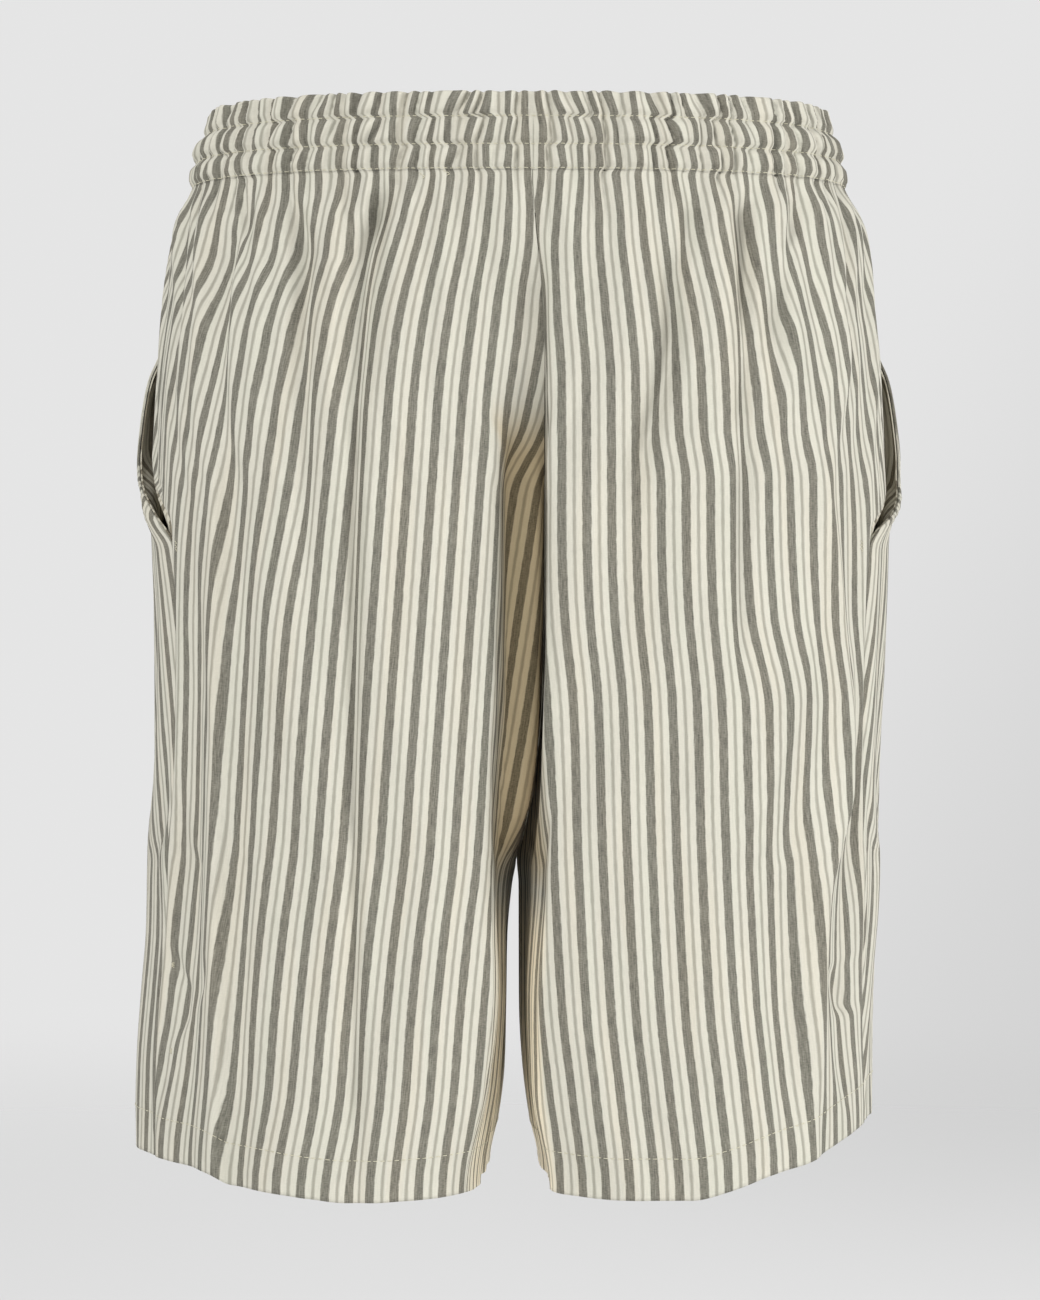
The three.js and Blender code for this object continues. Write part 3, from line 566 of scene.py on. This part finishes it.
def striped(name, dark, light, line):
    """Woven stripes from the cloth's own map, in millimetres, with its yarns and weave. Cloth
    that is turned inside carries painted shade and light: browner painted shade in the seat fold,
    and painted light between the legs, in place of the light that comes through the cloth."""
    made = bpy.data.materials.new(name)
    made.use_nodes = True
    nodes, links = made.node_tree.nodes, made.node_tree.links

    def node(kind, **values):
        one = nodes.new(kind)
        for key, value in values.items():
            setattr(one, key, value)
        return one

    def maths(operation, first, second=None):
        one = node("ShaderNodeMath", operation=operation)
        for socket, value in zip(one.inputs, (first, second)):
            if isinstance(value, (int, float)):
                socket.default_value = value
            elif value is not None:
                links.new(value, socket)
        return one.outputs[0]

    def yarns(across, down, detail):
        stretch = node("ShaderNodeMapping")
        stretch.inputs["Scale"].default_value = (1 / across, 1 / down, 1)
        links.new(map_node.outputs["UV"], stretch.inputs["Vector"])
        texture = node("ShaderNodeTexNoise", noise_dimensions="2D")
        texture.inputs["Scale"].default_value = 1
        texture.inputs["Detail"].default_value = detail
        links.new(stretch.outputs[0], texture.inputs["Vector"])
        return texture.outputs["Fac"]

    def ramp(value, stops):
        one = node("ShaderNodeValToRGB")
        points = one.color_ramp.elements
        points[0].position, points[0].color = stops[0][0], (*stops[0][1], 1)
        points[1].position, points[1].color = stops[-1][0], (*stops[-1][1], 1)
        for place, colour in stops[1:-1]:
            points.new(place).color = (*colour, 1)
        links.new(value, one.inputs["Fac"])
        return one.outputs["Color"]

    def mixed(share, first, second, blend="MIX"):
        one = node("ShaderNodeMix", data_type="RGBA", blend_type=blend)
        for socket, value in ((0, share), (6, first), (7, second)):
            if isinstance(value, (int, float, tuple)):
                one.inputs[socket].default_value = value
            else:
                links.new(value, one.inputs[socket])
        return one.outputs[2]

    map_node = node("ShaderNodeUVMap", uv_map="cloth")
    split = node("ShaderNodeSeparateXYZ")
    links.new(map_node.outputs["UV"], split.inputs[0])
    edge = maths("MULTIPLY", maths("SUBTRACT", yarns(0.7, 5, 1), 0.5), 0.05)
    turn = maths("ADD", maths("DIVIDE", split.outputs["X"], STRIPE), edge)
    place = maths("FRACT", maths("ADD", turn, 0.5))
    half, soft, thin = 2.05 / STRIPE, 0.25 / STRIPE, 0.62 / STRIPE
    stripes = ramp(place, (
        (0.0, line), (thin - soft, line), (thin + 2 * soft, light), (0.5 - half - soft, light),
        (0.5 - half + soft, dark), (0.5 + half - soft, dark), (0.5 + half + soft, light),
        (1 - thin - 2 * soft, light), (1 - thin + soft, line), (1.0, line)))
    darkness = ramp(place, (
        (0.0, (0, 0, 0)), (0.5 - half - soft, (0, 0, 0)), (0.5 - half + soft, (1, 1, 1)),
        (0.5 + half - soft, (1, 1, 1)), (0.5 + half + soft, (0, 0, 0)), (1.0, (0, 0, 0))))
    warp, weft = yarns(0.5, 7, 2), yarns(1.7, 0.5, 2)
    fibre = maths("ADD", maths("MULTIPLY", warp, 0.62), maths("MULTIPLY", weft, 0.38))
    strong = maths("ADD", maths("MULTIPLY", darkness, 1.7), 0.28)
    swing = maths("MULTIPLY", maths("SUBTRACT", fibre, 0.5), strong)
    cloudy = maths("MULTIPLY", maths("SUBTRACT", yarns(23, 61, 2), 0.5), 0.1)
    level = maths("ADD", maths("ADD", 1.0, swing), cloudy)
    tone = node("ShaderNodeCombineColor")
    for socket in tone.inputs:
        links.new(level, socket)
    toned = mixed(1.0, stripes, tone.outputs[0], "MULTIPLY")
    tints = ramp(yarns(9, 140, 1), ((0.3, (1.01, 0.995, 0.975)), (0.5, (1, 1, 1)),
                                    (0.7, (0.988, 1.0, 0.992))))
    colour = mixed(1.0, toned, tints, "MULTIPLY")
    # the painted shade and light of each point turns the cloth browner in the seat fold and lighter
    # between the legs
    painted_fold_tone = node("ShaderNodeAttribute", attribute_name="painted fold shade and light")
    colour = mixed(1.0, colour, ramp(painted_fold_tone.outputs["Fac"], PAINTED_FOLD_SHADE_AND_LIGHT), "MULTIPLY")
    bump = node("ShaderNodeBump")
    bump.inputs["Strength"].default_value = 0.35
    bump.inputs["Distance"].default_value = 0.0003
    links.new(fibre, bump.inputs["Height"])
    cotton = nodes["Principled BSDF"]
    cotton.inputs["Roughness"].default_value = 0.92
    cotton.inputs["Specular IOR Level"].default_value = 0.15
    cotton.inputs["Sheen Weight"].default_value = 0.04
    cotton.inputs["Sheen Roughness"].default_value = 0.5
    links.new(colour, cotton.inputs["Base Color"])
    links.new(bump.outputs[0], cotton.inputs["Normal"])
    return made


stripe_cotton = striped("cream cotton with grey olive stripes", dark=(0.170, 0.162, 0.133),
                        light=(0.528, 0.510, 0.437), line=(0.316, 0.304, 0.254))


def dressed(piece, material, slot, *nodes):
    piece.data.materials.append(material)
    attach(piece, "root")
    if nodes:
        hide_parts(*nodes)


def panel(name, columns, heights):
    """Makes a panel, and gives the grid of its outer face and the way out of it."""
    shares = np.linspace(0, 1, columns + 1)
    rows = [row_of(name, z, shares) for z in heights]
    outer, cloth_map = np.array([r[0] for r in rows]), np.array([r[1] for r in rows])
    inward = normals_of(outer) * (-1 if name in ("back_left", "front_right") else 1)
    wall = np.array([HEM_CLOTH if z < HEM_TOP else CLOTH for z in heights])[:, None, None]
    # the rows' painted shade and light go onto the cloth as inside
    piece = shell(name + "_cloth", outer, outer + inward * wall, cloth_map,
                  inside=np.array([r[4] for r in rows]))
    dressed(piece, stripe_cotton, "striped_cloth", name)
    return outer, inward


def heights_of(near_waist, below):
    """The heights of a panel's rows: close together below the waist and at the hem."""
    return np.concatenate([
        np.linspace(BAND_Z - SEAM, -75, near_waist, endpoint=False),
        np.linspace(-75, HEM_TOP, below, endpoint=False),
        [HEM_TOP, HEM_TOP - 0.8], np.linspace(HEM_TOP - 2.4, HEM_Z, 10)])


FINE = 1
BACK_HEIGHTS = heights_of(int(44 * FINE), int(180 * FINE))
faces = {name: panel(name, int(176 * FINE), BACK_HEIGHTS)
         for name in ("back_left", "back_right")}

# The front panels: the same cloth and cut, a little less full. They reach round the sides to
# the back, where their pocket edge gapes, and are sewn to the back panels down the outer leg and
# round the inner leg.
FRONT_HEIGHTS = heights_of(int(34 * FINE), int(140 * FINE))
for name in ("front_left", "front_right"):
    faces[name] = panel(name, int(150 * FINE), FRONT_HEIGHTS)

# The side pockets: in each side seam a bag of the striped cloth behind the front panel, and a
# facing that starts inside the back panel's edge. The mouth gapes, so that the facing shows.
BAG = ((0, -46, -187, 0), (12, -48, -204, 12), (34, -52, -236, 7), (64, -58, -256, 4.5),
       (92, -68, -252, 3.2), (108, -92, -236, 2.4))  # forward, top, bottom, room inside
POCKET_CLOTH, BEHIND = 0.6, 1.3


def under(name, heights, forward, z, deep):
    """Points that lie under a panel's outer face, by distance from its side seam and by height."""
    outer, inward = faces[name]
    last = outer.shape[1] - 1
    r = np.interp(-z, -heights, np.arange(len(heights)))
    r0 = np.minimum(r.astype(int), len(heights) - 2)
    c = np.empty_like(r)
    for row in np.unique(r0):
        run = along(outer[row, ::-1, :2])
        c[r0 == row] = last - np.interp(forward[r0 == row], run, np.arange(last + 1))
    c0 = np.minimum(c.astype(int), last - 1)
    fr, fc = (r - r0)[..., None], (c - c0)[..., None]

    def at(grid):
        top = grid[r0, c0] * (1 - fc) + grid[r0, c0 + 1] * fc
        return top * (1 - fr) + (grid[r0 + 1, c0] * (1 - fc) + grid[r0 + 1, c0 + 1] * fc) * fr

    return at(outer) + at(inward) * deep[..., None]


# The same striped cotton painted lighter and warmer: painted light in the pocket's shade.
pocket_cotton_painted_lighter = striped("striped cotton painted lighter for the pocket's shade", dark=(0.20, 0.178, 0.132),
                        light=(0.58, 0.548, 0.45), line=(0.37, 0.342, 0.27))
for side in ("left", "right"):
    front, back = "front_" + side, "back_" + side
    forward = np.linspace(0, BAG[-1][0], 28)[None, :]
    u = np.linspace(0, 1, 40)[:, None]
    top, bottom, apart = (read(BAG, forward, k) for k in (1, 2, 3))
    z = top + (bottom - top) * u
    ahead = forward + 0 * z
    deep = BEHIND + 2 * smooth(0, 30, forward) + 0 * z
    ease = smooth(0, 0.2, np.minimum(u, 1 - u))
    room = np.maximum(POCKET_CLOTH + SEAM, (apart - 1) * ease) + 0 * z
    bag = [under(front, FRONT_HEIGHTS, ahead, z, deep + more) for more in (0, POCKET_CLOTH)]
    facing = [under(front, FRONT_HEIGHTS, ahead, z, deep + room + more)
              for more in (0, POCKET_CLOTH)]
    gape = smooth(0, 5, read(POCKET_BOW, z[:, 0]))
    for skin, more in zip(facing, (0, POCKET_CLOTH)):
        edge = under(back, BACK_HEIGHTS, np.zeros(len(z)), z[:, 0],
                     BEHIND + more + (POCKET_CLOTH + SEAM) * (1 - gape)) + [0, 1.2, 0]
        for column in range(3):  # it runs from the back panel's edge to its place in 12 mm
            part = forward[0, column] / 12
            skin[:, column] = edge * (1 - part) + skin[:, column] * part
    for piece_name, skins in (("pocket_" + side, bag), ("pocket_" + side + "_facing", facing)):
        piece = shell(piece_name + "_cloth", *skins, np.stack([skins[0][..., 1], z], -1))
        dressed(piece, pocket_cotton_painted_lighter, "pocket_cloth", piece_name)

# The waistband: the tops of the four panels turned over the elastic and sewn down in three
# channels. The elastic pulls the cloth into fine puckers that kink at each row of stitches.
BAND_CLOTH = 3.0
RIM_ROUND = 1.5  # how far down the rim is rounded
QUARTERS = (("back_left", True), ("back_right", False), ("front_right", True),
            ("front_left", False))  # and whether its row runs backwards round the waist
rim_turn = np.linspace(0, math.pi / 2, 6)[1:]
band_heights = np.concatenate([np.linspace(BAND_Z - 0.25, RIM_Z - RIM_ROUND, int(44 * FINE)),
                               RIM_Z - RIM_ROUND + RIM_ROUND * np.sin(rim_turn)])


def ring(z, columns):
    """Once round the waist at a height: points, cloth map, the way outward and the fine relief."""
    shares = np.linspace(0, 1, columns)
    parts = []
    for name, backwards in QUARTERS:
        row = row_of(name, z, shares)
        parts.append([r[::-1] for r in row[:4]] if backwards else row[:4])
    return [np.concatenate(found) for found in zip(*parts)]


band_outer, band_inner, band_map = [], [], []
for z in band_heights:
    points, spots, outward, fine = ring(z, int(200 * FINE))
    over = max(0, (z - (RIM_Z - RIM_ROUND)) / RIM_ROUND)
    rounding = RIM_ROUND * (1 - math.sqrt(max(0, 1 - over * over)))
    band_outer.append(points - outward * rounding)
    band_inner.append(points - outward * (BAND_CLOTH - rounding + 0.45 * fine[:, None]))
    band_map.append(spots)
band = shell("waistband_cloth", np.array(band_outer), np.array(band_inner), np.array(band_map),
             around=True)
dressed(band, stripe_cotton, "striped_cloth", "waistband")

# The stitches: cream thread in short dashes. Three rows hold the elastic's channels and one row
# each hem, bar tacks hold the pockets' lower ends and two places low on the left side seam, and
# a few ends of thread lie under the waistband.
STITCH, GAP, THREAD = 2.3, 0.9, 0.18  # a stitch, the space to the next, the thread's radius
thread = bpy.data.materials.new("cream sewing thread")
thread.use_nodes = True
thread_nodes, thread_links = thread.node_tree.nodes, thread.node_tree.links
ply = thread_nodes.new("ShaderNodeTexNoise")
ply.inputs["Scale"].default_value = 900
shades = thread_nodes.new("ShaderNodeValToRGB")
shades.color_ramp.elements[0].color = (0.42, 0.39, 0.27, 1)
shades.color_ramp.elements[1].color = (0.62, 0.59, 0.45, 1)
thread_links.new(ply.outputs["Fac"], shades.inputs["Fac"])
thread_links.new(shades.outputs["Color"], thread_nodes["Principled BSDF"].inputs["Base Color"])
thread_nodes["Principled BSDF"].inputs["Roughness"].default_value = 0.6
thread_nodes["Principled BSDF"].inputs["Sheen Weight"].default_value = 0.3


def dashes(path, outward, stitch=STITCH, gap=GAP, proud=0.16):
    """Short threads along a path on the cloth, each one dipping in at both ends."""
    reach = np.concatenate([[0], np.cumsum(np.linalg.norm(np.diff(path, axis=0), axis=1))])
    count = int(reach[-1] // (stitch + gap))
    starts = np.arange(count) * (stitch + gap) + gap / 2
    spots = starts[:, None] + stitch * np.array([0, 0.2, 0.5, 0.8, 1])
    centre, out = (np.stack([np.interp(spots, reach, v[:, k]) for k in range(3)], -1)
                   for v in (path, outward))
    centre = centre + out * (np.array([-0.25, proud, proud + 0.08, proud, -0.25]))[:, None]
    run = np.gradient(centre, axis=1)
    run /= np.linalg.norm(run, axis=2, keepdims=True)
    side = np.cross(run, out)
    side /= np.linalg.norm(side, axis=2, keepdims=True)
    up = np.cross(side, run)
    w = np.linspace(0, 2 * np.pi, 6, endpoint=False)[:, None]
    thick = (THREAD * np.array([0.6, 1, 1, 1, 0.6]))[:, None, None]
    rings = centre[:, :, None] + thick * (np.cos(w) * up[:, :, None] + np.sin(w) * side[:, :, None])
    return rings.reshape(-1, 3)


def sewing(name, groups):
    points = np.vstack(groups) * MM
    count = len(points) // 30
    ends = np.array([[0, 1, 2, 3, 4, 5], [29, 28, 27, 26, 25, 24]])
    sides = np.array([[r * 6 + k, (r + 1) * 6 + k, (r + 1) * 6 + (k + 1) % 6, r * 6 + (k + 1) % 6]
                      for r in range(4) for k in range(6)])
    first = 30 * np.arange(count)[:, None]
    polygons = [(side + first).tolist() for side in sides] + [(end + first).tolist() for end in ends]
    mesh = bpy.data.meshes.new(name)
    mesh.from_pydata(points.tolist(), [], [face for group in polygons for face in group])
    mesh.polygons.foreach_set("use_smooth", np.ones(len(mesh.polygons), bool))
    form = bmesh.new()
    form.from_mesh(mesh)
    bmesh.ops.recalc_face_normals(form, faces=form.faces)
    form.to_mesh(mesh)
    form.free()
    piece = bpy.data.objects.new(name, mesh)
    scene.collection.objects.link(piece)
    dressed(piece, thread, "thread")


band_rows = []
for z in (ROWS[0], ROWS[1], BAND_Z + 0.5):
    points, _, outward, _ = ring(z, 200)
    band_rows.append(dashes(np.vstack([points, points[:1]]), np.vstack([outward, outward[:1]])))
sewing("waistband_stitches", band_rows)

hem_rows = []
for name in faces:
    points, _, outward, _, _ = row_of(name, HEM_TOP + 0.5, np.linspace(0.004, 0.996, 200))
    hem_rows.append(dashes(points, outward))
sewing("hem_stitches", hem_rows)


def spot(name, x, z):
    """A place on a back panel's outer face, at |x| and a height, with the way out of it."""
    outer, inward = faces[name]
    row = int(np.argmin(abs(BACK_HEIGHTS - z)))
    first = outer.shape[1] // 4
    column = first + int(np.argmin(abs(abs(outer[row, first:, 0]) - x)))
    return outer[row, column], -inward[row, column]


def small_thread(name, x, z, wide, high, turns, stitch):
    """A thread that runs to and fro over a small place: a bar tack, or the end of a row."""
    at, out = spot(name, x, z)
    right = np.cross(out, [0, 0, 1.0])
    right /= np.linalg.norm(right)
    down = np.cross(right, out)
    t = np.linspace(-1, 1, 8 * turns + 1)
    path = at + np.outer(high * t, down) + np.outer(wide * np.sin(math.pi * turns * t), right)
    return dashes(path, np.tile(out, (len(t), 1)), stitch, 0.05)


TACKS = (("back_left", 157, -188, 0.9, 2.6), ("back_right", 158, -188, 0.9, 2.6),
         ("back_left", 160, -391, 0.8, 1.4), ("back_left", 160, -434, 0.8, 1.4))
KNOTS = (("back_left", 43.5, -20.5), ("back_left", 3.5, -19.5), ("back_right", 12.5, -19.5))
sewing("bar_tacks", [small_thread(name, x, z, wide, high, 3, 1.4)
                     for name, x, z, wide, high in TACKS]
       + [small_thread(name, x, z, 1.3, 1.6, 1, 1.7) for name, x, z in KNOTS])
